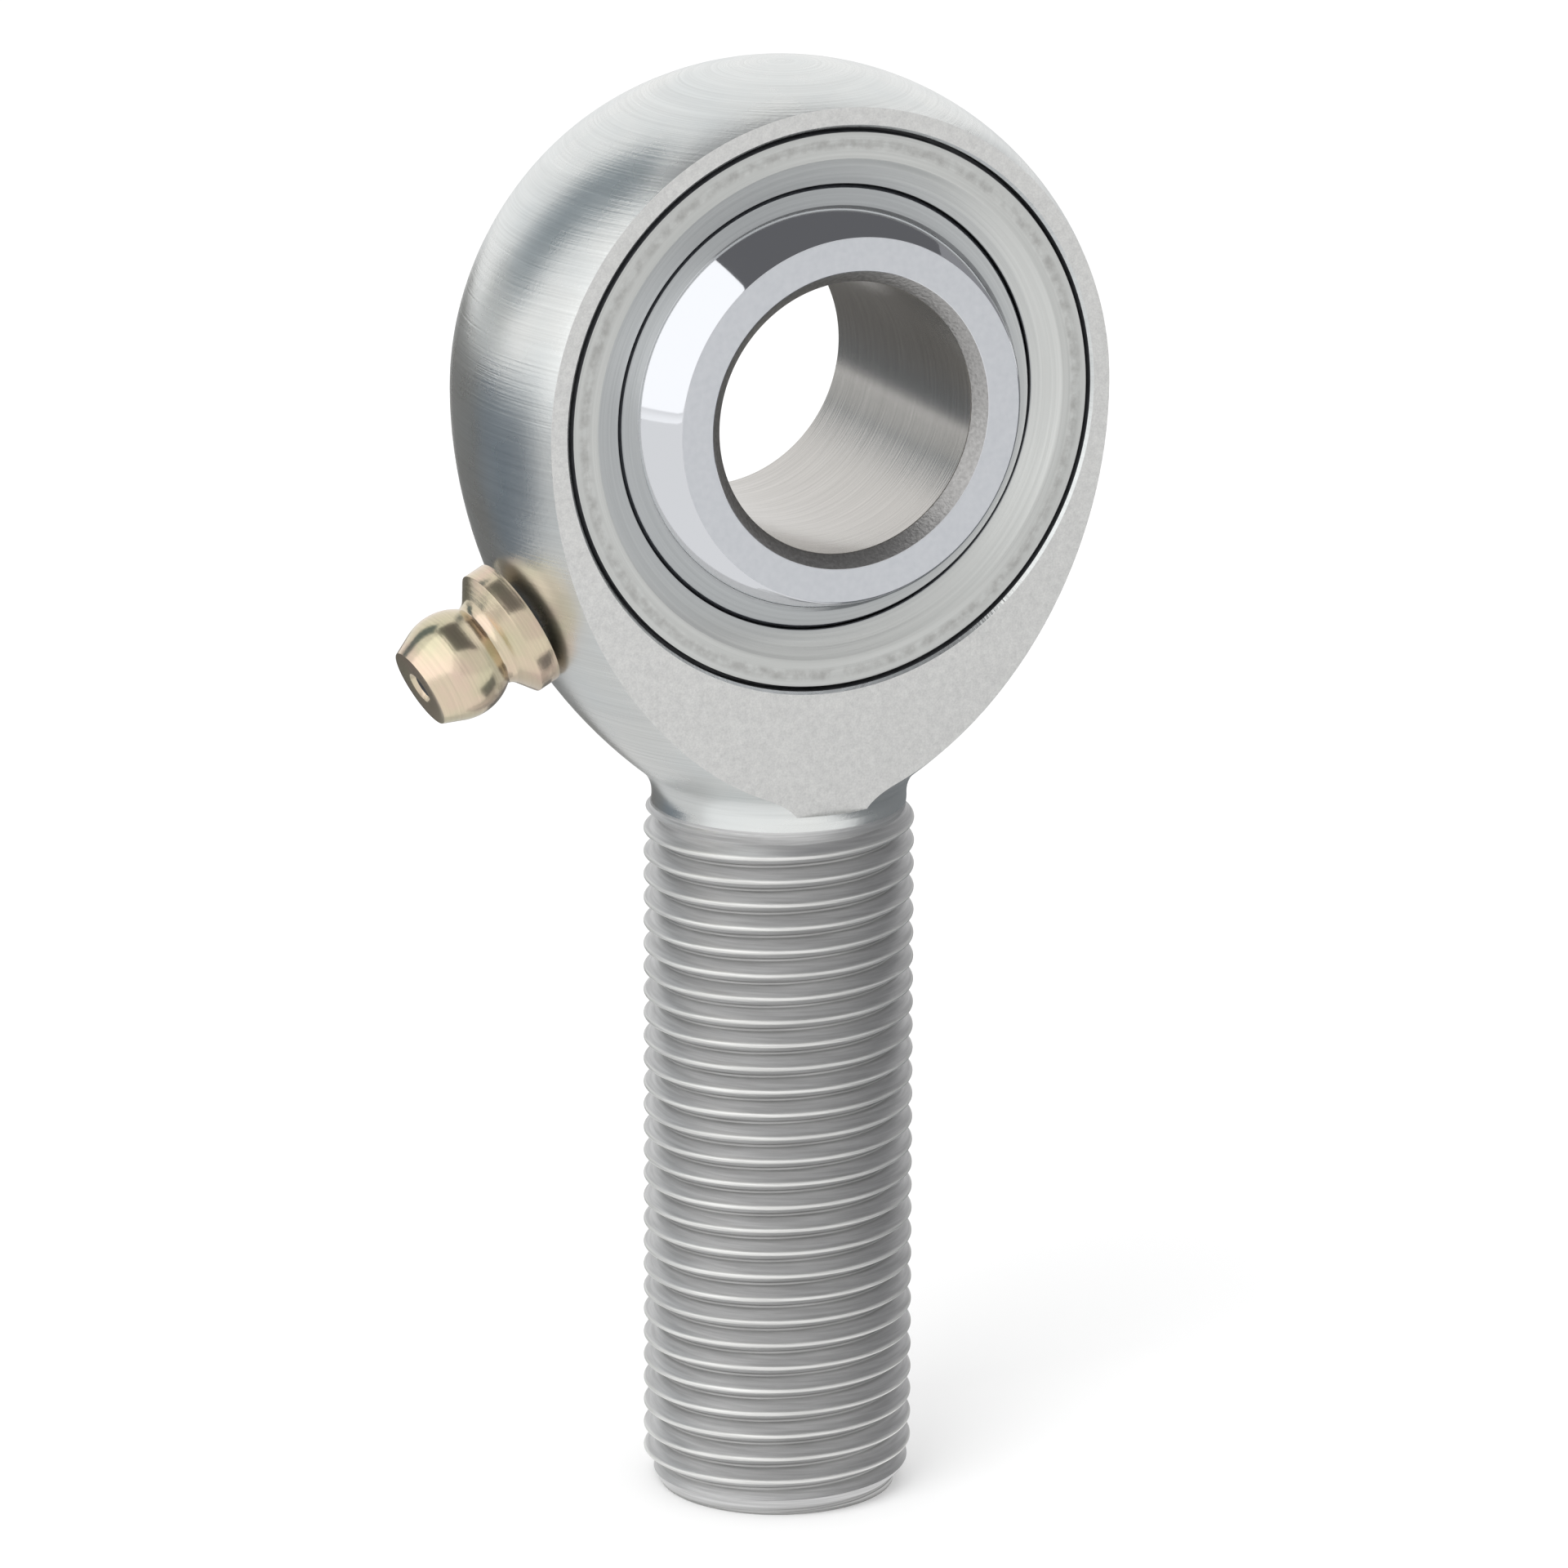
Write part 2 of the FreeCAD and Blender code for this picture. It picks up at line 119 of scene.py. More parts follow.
def addToolLines(tree, place, across, rate, along, detail):
    # what a cutting tool leaves: noise that changes fast across its path and slowly along it
    crossing = addMath(tree, "MULTIPLY", across, rate)
    path = addNode(tree, "ShaderNodeVectorMath", {"operation": "SCALE", "Scale": along, 0: place}).outputs[0]
    values = {"noise_dimensions": "4D", "Scale": 1.0, "Detail": detail, "Vector": path, "W": crossing}
    return addNode(tree, "ShaderNodeTexNoise", values).outputs["Fac"]


def startMetal(name, colour, roughness):
    # one shader, and the point on the piece that its patterns read
    material = bpy.data.materials.new(name)
    material.use_nodes = True
    tree = material.node_tree
    shader = tree.nodes["Principled BSDF"]
    shader.inputs["Metallic"].default_value = 1
    shader.inputs["Base Color"].default_value = toLinear(colour)
    shader.inputs["Roughness"].default_value = roughness
    place = addNode(tree, "ShaderNodeTexCoord", {}).outputs["Object"]
    return material, tree, shader, place


def plug(tree, shader, sources):
    for name, source in sources.items():
        tree.links.new(source, shader.inputs[name])


def grainedMetal(name, colour, roughness, grain, tones, relief):
    # grain is a noise's scale and detail, and relief its strength and depth
    material, tree, shader, place = startMetal(name, colour, roughness)
    spots = addNoise(tree, place, *grain)
    tint = addBlend(tree, spots, *tones)
    plug(tree, shader, {"Base Color": tint, "Normal": addRelief(tree, spots, *relief)})
    return material


def hazyMetal(name, colour, roughness, grain, gloss):
    # an even colour, and a roughness that wanders between the two values of gloss
    material, tree, shader, place = startMetal(name, colour, roughness)
    haze = addNoise(tree, place, *grain)
    plug(tree, shader, {"Roughness": addRange(tree, haze, 0.0, 1.0, *gloss)})
    return material


def selectNothing():
    if bpy.context.mode != "OBJECT":
        bpy.ops.object.mode_set(mode="OBJECT")
    bpy.ops.object.select_all(action="DESELECT")


def pick(piece, mode="OBJECT"):
    selectNothing()
    piece.select_set(True)
    bpy.context.view_layer.objects.active = piece
    bpy.ops.object.mode_set(mode=mode)


def selectFaces(piece, wanted):
    # faces whose centre and normal pass the test are left selected in edit mode
    pick(piece, "EDIT")
    bpy.ops.mesh.select_mode(type="FACE")
    bpy.ops.mesh.select_all(action="DESELECT")
    bpy.ops.object.mode_set(mode="OBJECT")
    for face in piece.data.polygons:
        face.select = wanted(face.center / mm, face.normal)
    bpy.ops.object.mode_set(mode="EDIT")


def paint(piece, material, wanted):
    if material.name not in piece.data.materials:
        piece.data.materials.append(material)
    selectFaces(piece, wanted)
    piece.active_material_index = piece.data.materials.find(material.name)
    bpy.ops.object.material_slot_assign()
    bpy.ops.object.mode_set(mode="OBJECT")


def applyModifier(piece, kind, settings):
    pick(piece)
    modifier = piece.modifiers.new(kind.title(), kind)
    for key, value in settings.items():
        setattr(modifier, key, value)
    bpy.ops.object.modifier_apply(modifier=modifier.name)


def cutWith(piece, cutter):
    applyModifier(piece, "BOOLEAN", {"operation": "DIFFERENCE", "solver": "EXACT", "object": cutter})
    bpy.data.objects.remove(cutter)


def roundEdges(piece, width, steps, degrees):
    applyModifier(piece, "BEVEL", {"width": width * mm, "segments": steps, "limit_method": "ANGLE",
                                   "angle_limit": math.radians(degrees)})


def windUp(piece, pitch, turns, steps):
    applyModifier(piece, "SCREW", {
        "screw_offset": pitch * mm, "iterations": turns, "steps": steps, "render_steps": steps,
        "use_merge_vertices": True, "merge_threshold": merge * mm,
    })


def mergePoints(piece):
    pick(piece, "EDIT")
    bpy.ops.mesh.select_all(action="SELECT")
    bpy.ops.mesh.remove_doubles(threshold=merge * mm)


def faceOutward():
    bpy.ops.mesh.select_all(action="SELECT")
    bpy.ops.mesh.normals_make_consistent(inside=False)
    bpy.ops.object.mode_set(mode="OBJECT")


def startPoint(name, x, y, z):
    # a small plane merged into one point, which is then pulled along an outline
    selectNothing()
    bpy.ops.mesh.primitive_plane_add(size=mm)
    piece = bpy.context.object
    piece.name = piece.data.name = name
    bpy.ops.object.mode_set(mode="EDIT")
    bpy.ops.mesh.select_mode(type="VERT")
    bpy.ops.mesh.merge(type="CENTER")
    bpy.ops.transform.translate(value=(x * mm, y * mm, z * mm))
    return piece


def drawOutline(name, start, steps, alongAxis="Z"):
    # a line step gives the next point, an arc step its centre, its angle and its number of parts
    lift = Vector((0, 0, 1)) if alongAxis == "Z" else Vector((0, 1, 0))
    arcAxis = (0, 1, 0) if alongAxis == "Z" else (0, 0, -1)
    here = Vector((start[0], 0, 0)) + lift * start[1]
    piece = startPoint(name, *here)
    for step in steps:
        if step[0] == "line":
            there = Vector((step[1], 0, 0)) + lift * step[2]
            bpy.ops.mesh.extrude_region_move(TRANSFORM_OT_translate={"value": (there - here) * mm})
        else:
            centre = Vector((step[1], 0, 0)) + lift * step[2]
            bpy.ops.mesh.spin(steps=step[4], angle=math.radians(step[3]), center=centre * mm, axis=arcAxis)
            arm = here - centre
            flat = Vector((arm.x, arm.dot(lift)))
            flat.rotate(Matrix.Rotation(math.radians(step[3]), 2))
            there = centre + Vector((flat.x, 0, 0)) + lift * flat.y
        here = there
    return piece


def roundCorners(piece, corners, steps, alongAxis="Z"):
    # each corner is a radius and a height on the outline, and what its rounding takes off each side
    for across, height, size in corners:
        bpy.ops.mesh.select_all(action="DESELECT")
        bpy.ops.object.mode_set(mode="OBJECT")
        for point in piece.data.vertices:
            lengthwise = point.co.z if alongAxis == "Z" else point.co.y
            point.select = math.hypot(point.co.x - across * mm, lengthwise - height * mm) < hair * mm
        bpy.ops.object.mode_set(mode="EDIT")
        bpy.ops.mesh.bevel(offset=size * mm, segments=steps, affect="VERTICES")


def turnPiece(name, start, steps, alongAxis="Z", around=192, corners=()):
    # the outline of half a section, spun all the way round
    piece = drawOutline(name, start, steps, alongAxis)
    roundCorners(piece, corners, 5, alongAxis)
    bpy.ops.mesh.select_all(action="SELECT")
    axis = (0, 0, 1) if alongAxis == "Z" else (0, 1, 0)
    bpy.ops.mesh.spin(steps=around, angle=math.tau, center=(0, 0, 0), axis=axis)
    mergePoints(piece)
    faceOutward()
    return piece


def smooth(piece, degrees=30):
    pick(piece)
    bpy.ops.object.shade_smooth_by_angle(angle=math.radians(degrees), keep_sharp_edges=True)


def flattenShading(piece):
    # big faces keep their own shading, and only the small rounded edges blend
    applyModifier(piece, "WEIGHTED_NORMAL", {"keep_sharp": True, "weight": 80})


def seat(piece, body, node):
    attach(piece, body)
    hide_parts(node)


# the housing's head, neck and rolled thread are one piece
head = {
    "radius": 19.05, "flankRadius": 29.0, "filletRadius": 2.2, "halfWidth": 7.1375, "flatEnd": -23.856,
    "neckRadius": 7.4415, "neckTop": -23.906, "neckEnd": -24.6, "block": 50, "blockDepth": 20,
    "seatRadius": 16.5, "seatChamfer": 0.16, "seatLip": 1.5, "socketRadius": 2.42, "socketDepth": 3.2,
}
thread = {
    "radius": 7.9, "rootRadius": 6.95, "pitch": 1.4111, "flankAngle": 30, "crestHalf": 0.088,
    "crestRound": 0.085, "rootRound": 0.05, "top": -24.942, "chamferTop": -25.4, "end": -66.675,
    "endRadius": 6.9, "endChamfer": 1.8, "runOut": 1.3, "turns": 32, "around": 96, "joint": 0.15,
}
nipple = {"angle": 27.5, "seat": (-16.478, 0, -12.298)}
nippleTilt = math.radians(nipple["angle"])
nippleOut = Vector((-math.cos(nippleTilt), 0, -math.sin(nippleTilt)))


def mixTurnedZinc():
    # bright zinc plate over turned steel: a soft gloss, faint blue clouds and lines round the shank's axis
    material, tree, shader, place = startMetal("bright zinc on turned steel", "#DEDFDC", 0.3)
    offAxis = addLength(tree, addStretch(tree, place, (1, 1, 0)))
    height = addNode(tree, "ShaderNodeSeparateXYZ", {"Vector": place}).outputs["Z"]
    fromTop = addMath(tree, "ARCTAN2", offAxis, height)
    lines = addToolLines(tree, place, fromTop, 150.0, 90.0, 3.0)   # 0.13 mm apart and 11 mm long
    clouds = addNoise(tree, place, 230.0, 4.0)   # 4 mm clouds
    specks = addNoise(tree, place, 4200.0)   # 0.24 mm specks
    tint = addBlend(tree, clouds, "#E4E4E1", "#D8DDDE")
    grain = addMath(tree, "ADD", addMath(tree, "MULTIPLY", lines, 2.0), specks)
    plug(tree, shader, {
        "Base Color": addTone(tree, tint, addRange(tree, lines, 0.3, 0.7, 0.93, 1.07)),
        "Roughness": addRange(tree, clouds, 0.0, 1.0, 0.20, 0.36),
        "Normal": addRelief(tree, grain, 0.30),
    })
    return material


def mixMilledZinc():
    # the same plate on the milled flats, which were left matt: an even fine grain
    material, tree, shader, place = startMetal("matt zinc on milled steel", "#D2D2D1", 0.42)
    grain = addNoise(tree, place, 3000.0, 4.0)   # 0.3 mm grain
    specks = addNoise(tree, place, 9000.0)   # 0.1 mm specks
    shade = addRange(tree, addMath(tree, "ADD", grain, specks), 0.6, 1.4, 0.0, 1.0)
    tint = addBlend(tree, shade, "#CBCBCA", "#E3E3E1")
    plug(tree, shader, {"Base Color": tint, "Normal": addRelief(tree, grain, 0.6)})
    return material


def mixRolledZinc():
    # plate on the rolled thread: greyer and drawn out along the turns, with painted shade darkening the
    # roots and lighter crests
    material, tree, shader, place = startMetal("zinc on rolled thread", "#CDCECB", 0.5)
    streaks = addNoise(tree, addStretch(tree, place, (250, 250, 9000)), 1.0, 3.0)   # 0.11 mm streaks
    grain = addNoise(tree, place, 2200.0)   # 0.45 mm grain
    offAxis = addLength(tree, addStretch(tree, place, (1, 1, 0)))
    depth = addRange(tree, offAxis, thread["rootRadius"] * mm, thread["radius"] * mm, 0.0, 1.0)
    # painted shade: the colour darkens towards the roots, and the crests are lighter
    shadedRootsLightCrests = addRamp(tree, depth, [
        (0, "#B6B6B5"), (0.22, "#D3D3D3"), (0.86, "#D3D3D3"), (0.95, "#EAEAE8"), (1, "#EAEAE8"),
    ])
    plug(tree, shader, {
        "Base Color": addTone(tree, shadedRootsLightCrests, addRange(tree, streaks, 0.3, 0.7, 0.80, 1.06)),
        "Normal": addRelief(tree, addMath(tree, "ADD", streaks, grain), 0.5),
    })
    return material


def mixJointGreaseShade():
    # a dark grease film that fills the joints round the ring and the ball, and paints the shade in them
    material, tree, shader, place = startMetal("dark grease and painted shade in the joints", "#1E1F20", 0.5)
    shader.inputs["Metallic"].default_value = 0
    smears = addNoise(tree, place, 1500.0, 3.0)   # 0.7 mm smears
    plug(tree, shader, {"Base Color": addBlend(tree, smears, "#333436", "#5A5C60")})
    return material


zincTurned = mixTurnedZinc()
zincMilled = mixMilledZinc()
zincRolled = mixRolledZinc()
jointGreaseShade = mixJointGreaseShade()


def onNippleAxis(piece):
    pick(piece)
    turned = nippleOut.to_track_quat("Z", "Y").to_matrix().to_4x4()
    piece.matrix_world = Matrix.Translation(Vector(nipple["seat"]) * mm) @ turned
    bpy.ops.object.transform_apply(location=True, rotation=True, scale=True)


flankCentre = head["radius"] - head["flankRadius"]
filletCentre = head["neckRadius"] + head["filletRadius"]
reach = head["flankRadius"] + head["filletRadius"]
filletHeight = -math.sqrt(reach ** 2 - (filletCentre - flankCentre) ** 2)
flankTurn = math.degrees(math.asin(-filletHeight / reach))
housing = turnPiece("housing_body", (0, head["radius"]), [
    ("arc", 0, 0, -90, 46),
    ("arc", flankCentre, 0, -flankTurn, 28),
    ("arc", filletCentre, filletHeight, flankTurn, 8),
    ("line", head["neckRadius"], head["neckTop"]),
    ("line", head["neckRadius"], head["neckEnd"]),
    ("line", 0, head["neckEnd"]),
])
for side in (-1, 1):
    selectNothing()
    away = side * (head["halfWidth"] + head["blockDepth"] / 2)
    bpy.ops.mesh.primitive_cube_add(size=mm, scale=(head["block"], head["blockDepth"], head["block"]),
                                    location=Vector((0, away, head["flatEnd"] + head["block"] / 2)) * mm)
    cutWith(housing, bpy.context.object)
print("flats milled")

lipRadius = head["seatRadius"] + head["seatChamfer"] + head["seatLip"]
lipHeight = head["halfWidth"] + head["seatLip"]
seatWall = head["halfWidth"] - head["seatChamfer"]
cutWith(housing, turnPiece("seat_cutter", (0, -lipHeight), [
    ("line", lipRadius, -lipHeight),
    ("line", head["seatRadius"], -seatWall),
    ("line", head["seatRadius"], seatWall),
    ("line", lipRadius, lipHeight),
    ("line", 0, lipHeight),
], "Y"))
socket = turnPiece("socket_cutter", (0, -head["socketDepth"]), [
    ("line", head["socketRadius"], -head["socketDepth"]),
    ("line", head["socketRadius"], 1),
    ("line", 0, 1),
], around=64)
onNippleAxis(socket)
cutWith(housing, socket)
selectFaces(housing, lambda centre, normal: abs(centre.z - head["neckEnd"]) < hair)
bpy.ops.mesh.delete(type="FACE")
print("seat and socket bored")

# one pitch of the thread's outline is wound up along the shank, past both ends, which are cut off below
flankRun = (thread["radius"] - thread["rootRadius"]) * math.tan(math.radians(thread["flankAngle"]))
rootHalf = thread["pitch"] / 2 - thread["crestHalf"] - flankRun
rootStart = thread["end"] - 1.5 * thread["pitch"]
rootEnd = rootStart + rootHalf
crestStart = rootEnd + flankRun
crestEnd = crestStart + 2 * thread["crestHalf"]
nextRoot = rootStart + thread["pitch"] - rootHalf
rolled = drawOutline("rolled_thread", (thread["rootRadius"], rootStart), [
    ("line", thread["rootRadius"], rootEnd),
    ("line", thread["radius"], crestStart),
    ("line", thread["radius"], crestEnd),
    ("line", thread["rootRadius"], nextRoot),
    ("line", thread["rootRadius"], rootStart + thread["pitch"]),
])
roundCorners(rolled, [
    (thread["radius"], crestStart, thread["crestRound"]),
    (thread["radius"], crestEnd, thread["crestRound"]),
    (thread["rootRadius"], rootEnd, thread["rootRound"]),
    (thread["rootRadius"], nextRoot, thread["rootRound"]),
], 3)
windUp(rolled, thread["pitch"], thread["turns"], thread["around"])

# the end gets its chamfer, the top its shoulder, and the groove runs out at the neck
endSlope = (thread["radius"] - thread["endRadius"]) / thread["endChamfer"]
rootRise = head["neckRadius"] - thread["rootRadius"]
for point in rolled.data.vertices:
    height = point.co.z / mm
    width = math.hypot(point.co.x, point.co.y) / mm
    chamfered = thread["endRadius"] + (height - thread["end"]) * endSlope
    shouldered = max(head["neckRadius"], thread["radius"] - max(0, height - thread["chamferTop"]))
    runningOut = (height - thread["top"]) / thread["runOut"] + 1
    ground = thread["rootRadius"] + rootRise * min(1, max(0, runningOut))
    fitted = min(max(width, ground), shouldered, chamfered)
    point.co.x *= fitted / width
    point.co.y *= fitted / width
pick(rolled, "EDIT")
bpy.ops.mesh.select_all(action="SELECT")
bpy.ops.mesh.bisect(plane_co=(0, 0, thread["end"] * mm), plane_no=(0, 0, 1), clear_inner=True, use_fill=True,
                    threshold=0.001 * mm)
neckJoint = head["neckEnd"] - thread["joint"]
bpy.ops.mesh.select_all(action="SELECT")
bpy.ops.mesh.bisect(plane_co=(0, 0, neckJoint * mm), plane_no=(0, 0, 1), clear_outer=True,
                    threshold=0.001 * mm)
mergePoints(rolled)
faceOutward()
pick(housing)
rolled.select_set(True)
bpy.ops.object.join()
pick(housing, "EDIT")
bpy.ops.mesh.select_mode(type="EDGE")
bpy.ops.mesh.select_all(action="DESELECT")
bpy.ops.mesh.select_non_manifold()
bpy.ops.mesh.bridge_edge_loops()
faceOutward()
print("thread rolled", len(housing.data.vertices))


def fromBore(centre):
    return math.hypot(centre.x, centre.z)


def onFlat(centre, normal):
    return abs(abs(centre.y) - head["halfWidth"]) < hair and abs(normal.y) > 0.99


housing.data.materials.append(zincTurned)
# the seat wall round the ring gets the dark grease film and its painted shade
paint(housing, jointGreaseShade, lambda centre, normal: abs(fromBore(centre) - head["seatRadius"]) < 2 * hair)
paint(housing, zincMilled, onFlat)
paint(housing, zincRolled, lambda centre, normal: centre.z < neckJoint)
selectFaces(housing, onFlat)
bpy.ops.mesh.region_to_loop()
bpy.ops.mesh.mark_sharp()
smooth(housing)
seat(housing, "housing", "housing")


# the race ring is pressed into the head, a little below its flats
ring = {
    "radius": 16.5, "halfWidth": 7.0, "gap": 0.27, "gapDepth": 0.9, "edge": 0.08, "faceInner": 14.7,
    "mouthRadius": 13.05, "mouth": 6.15, "race": 14.3375, "feedHalf": 1.5, "feedDepth": 0.7,
    "grooveHalf": 1.2, "grooveDepth": 0.45, "band": 15.55,
}


def mixRaceSteel():
    # turned steel: fine rings round the bore, a dull mottled band on the flat side, and painted light that
    # makes the cone in it brighter
    material, tree, shader, place = startMetal("turned race steel", "#CBCCCA", 0.34)
    radius = addLength(tree, addStretch(tree, place, (1, 0, 1)))
    rings = addToolLines(tree, place, radius, 5500.0, 60.0, 2.0)   # 0.18 mm apart and 17 mm long
    mottle = addNoise(tree, place, 1300.0, 4.0, 0.6)   # 0.8 mm blotches
    blotches = addRange(tree, mottle, 0.38, 0.66, 0.0, 1.0)
    fromBand = addMath(tree, "SUBTRACT", radius, ring["band"] * mm)
    offBand = addNode(tree, "ShaderNodeMath", {"operation": "ABSOLUTE", 0: fromBand}).outputs[0]
    inBand = addRange(tree, offBand, 0.10 * mm, 0.5 * mm, 1.0, 0.0, "SMOOTHSTEP")
    ringTint = addBlend(tree, rings, "#B4B6B4", "#D6D7D5")
    dulled = addBlend(tree, addMath(tree, "MULTIPLY", blotches, inBand), ringTint, "#ACACAA")
    # painted light: the cone inside the face is painted 12 % brighter
    paintedConeLight = addRange(tree, radius, 14.6 * mm, 14.75 * mm, 1.12, 1.0)
    tint = addTone(tree, dulled, paintedConeLight)
    plug(tree, shader, {"Base Color": tint, "Normal": addRelief(tree, rings, 0.9)})
    return material


raceTurned = mixRaceSteel()
raceStart = math.sqrt(ring["race"] ** 2 - ring["mouthRadius"] ** 2)
raceTurn = math.degrees(math.asin(raceStart / ring["race"]))
grooveTurn = math.degrees(math.asin(ring["grooveHalf"] / ring["race"]))
grooveEdge = ring["race"] * math.cos(math.radians(grooveTurn))
grooveRadius = grooveEdge + ring["grooveDepth"]
gapRadius = ring["radius"] - ring["gap"]
gapEnd = ring["halfWidth"] - ring["gapDepth"]
feedRadius = ring["radius"] - ring["feedDepth"]
raceRing = turnPiece("race_ring", (ring["faceInner"], -ring["halfWidth"]), [
    ("line", gapRadius, -ring["halfWidth"]),
    ("line", gapRadius, -gapEnd),
    ("line", ring["radius"], -gapEnd),
    ("line", ring["radius"], -ring["feedHalf"]),
    ("line", feedRadius, -ring["feedHalf"]),
    ("line", feedRadius, ring["feedHalf"]),
    ("line", ring["radius"], ring["feedHalf"]),
    ("line", ring["radius"], gapEnd),
    ("line", gapRadius, gapEnd),
    ("line", gapRadius, ring["halfWidth"]),
    ("line", ring["faceInner"], ring["halfWidth"]),
    ("line", ring["mouthRadius"], ring["mouth"]),
    ("line", ring["mouthRadius"], raceStart),
    ("arc", 0, 0, grooveTurn - raceTurn, 10),
    ("line", grooveRadius, ring["grooveHalf"]),
    ("line", grooveRadius, -ring["grooveHalf"]),
    ("line", grooveEdge, -ring["grooveHalf"]),
    ("arc", 0, 0, grooveTurn - raceTurn, 10),
    ("line", ring["mouthRadius"], -ring["mouth"]),
    ("line", ring["faceInner"], -ring["halfWidth"]),
], "Y")


def inShadedJoint(centre, normal):
    # painted shade with the grease: the ring's outside, and its race behind the mouth
    inRace = abs(centre.y) < ring["mouth"] - 2 * hair and abs(normal.y) < 0.9
    return fromBore(centre) > gapRadius - 2 * hair or inRace


raceRing.data.materials.append(raceTurned)
# the ring's outside and the race behind its mouth are painted dark: grease and painted shade
paint(raceRing, jointGreaseShade, inShadedJoint)
roundEdges(raceRing, ring["edge"], 2, 25)
smooth(raceRing)
flattenShading(raceRing)
seat(raceRing, "housing", "outer_ring")
print("race ring turned")


# the ball, with a bore for the bolt
ball = {"radius": 14.2875, "halfWidth": 9.525, "bore": 7.9375, "chamfer": 0.76, "edge": 0.06}
# hard chrome on the sphere, a clean mirror with hardly any haze, and satin chrome on the ground sides
chromeMirror = hazyMetal("polished chrome", "#D6D8DC", 0.05, (500.0, 3.0), (0.03, 0.07))   # 2 mm haze
chromeSatin = grainedMetal("satin chrome", "#C8CBD2", 0.36,
                           (2600.0, 3.0), ("#C5C8CD", "#D4D6DA"), (0.1, 0.02))   # 0.4 mm grain
# the bore's steel as the cutter left it on the chamfers: darker, with sparkling chatter marks
chamferSteel = grainedMetal("chamfered bearing steel", "#A3A19F", 0.42,
                            (5000.0, 2.0), ("#8A8988", "#BFBEBD"), (0.9, 0.03))   # 0.2 mm marks


def mixHonedSteel():
    # honed steel in the bore: warm grey, with fine lines round the hole
    material, tree, shader, place = startMetal("honed bearing steel", "#C4C1BD", 0.25)
    lines = addNoise(tree, addStretch(tree, place, (200, 7000, 200)), 1.0, 3.0)   # 0.14 mm lines
    tint = addBlend(tree, lines, "#B5B2AE", "#D8D5D1")
    plug(tree, shader, {"Base Color": tint, "Normal": addRelief(tree, lines, 0.5)})
    return material


honedSteel = mixHonedSteel()
faceRadius = math.sqrt(ball["radius"] ** 2 - ball["halfWidth"] ** 2)
ballTurn = math.degrees(math.asin(ball["halfWidth"] / ball["radius"]))
boreEdge = ball["bore"] + ball["chamfer"]
boreEnd = ball["halfWidth"] - ball["chamfer"]
rodBall = turnPiece("rod_ball", (ball["bore"], -boreEnd), [
    ("line", boreEdge, -ball["halfWidth"]),
    ("line", faceRadius, -ball["halfWidth"]),
    ("arc", 0, 0, 2 * ballTurn, 60),
    ("line", boreEdge, ball["halfWidth"]),
    ("line", ball["bore"], boreEnd),
    ("line", ball["bore"], -boreEnd),
], "Y")
roundEdges(rodBall, ball["edge"], 3, 25)


def inBore(centre, normal):
    return fromBore(centre) < boreEdge - 2 * hair


rodBall.data.materials.append(chromeMirror)
paint(rodBall, chromeSatin, lambda centre, normal: abs(centre.y) > ball["halfWidth"] - hair)
paint(rodBall, honedSteel, inBore)
paint(rodBall, chamferSteel, lambda centre, normal: inBore(centre, normal) and abs(centre.y) > boreEnd)
smooth(rodBall)
flattenShading(rodBall)
seat(rodBall, "ball", "ball")
print("ball ground")


# the grease nipple, along its own axis, with heights from the back of its flange
body = {
    "drive": 2.4, "driveEnd": -3.0, "lead": 0.3, "flange": 3.9, "flangeTop": 1.25, "coneTop": 2.25,
    "coneRound": 0.45, "neck": 2.55, "neckRound": 0.3, "head": 3.2, "headHeight": 4.55, "coneStart": 5.852,
    "tip": 2.394, "height": 7.04, "edge": 0.07, "inletSink": 1.0, "inlet": 0.75, "inletEnd": 6.54,
    "valve": 1.5, "valveTop": 5.79, "crimp": 0.85, "crimpTop": -2.6,
    "greaseShadeBehind": -0.05, "greaseShadeWithin": 0.81, "greaseShadeAbove": 5.69,
}
checkBall = {"radius": 1.2, "height": 5.551}
checkSpring = {
    "wire": 0.15, "coil": 0.95, "bottom": -2.42, "top": 4.55, "turns": 5, "around": 32,
    "foot": -2.57, "keep": 0.855,
}


def mixYellowZinc():
    # yellow passivated zinc: pale gold, pink and green in its film, and fine lines round the nipple's axis
    material, tree, shader, place = startMetal("yellow passivated zinc", "#D9CCB2", 0.2)
    film = addNoise(tree, place, 420.0, 3.0)   # 2.4 mm patches
    specks = addNoise(tree, place, 4200.0)   # 0.24 mm specks
    hues = addRamp(tree, film, [(0.32, "#D3CBAE"), (0.5, "#DACBB2"), (0.68, "#DFC8B5")])
    outward = addNode(tree, "ShaderNodeVectorMath", {"operation": "DOT_PRODUCT", 0: place, 1: nippleOut})
    lines = addToolLines(tree, place, outward.outputs["Value"], 8000.0, 150.0, 2.0)   # 0.12 mm apart
    plug(tree, shader, {
        "Base Color": addTone(tree, hues, addRange(tree, lines, 0.3, 0.7, 0.92, 1.04)),
        "Normal": addRelief(tree, addMath(tree, "ADD", lines, specks), 0.22),
    })
    return material


yellowZinc = mixYellowZinc()
# the check ball's steel is painted darker: painted shade for the ball down in the inlet
shadedValveSteel = hazyMetal("hardened ball steel", "#A6A7AA", 0.1, (2500.0,), (0.06, 0.16))   # 0.4 mm haze
springSteel = hazyMetal("drawn spring steel", "#8C8B88", 0.35, (4000.0,), (0.28, 0.45))   # 0.25 mm haze

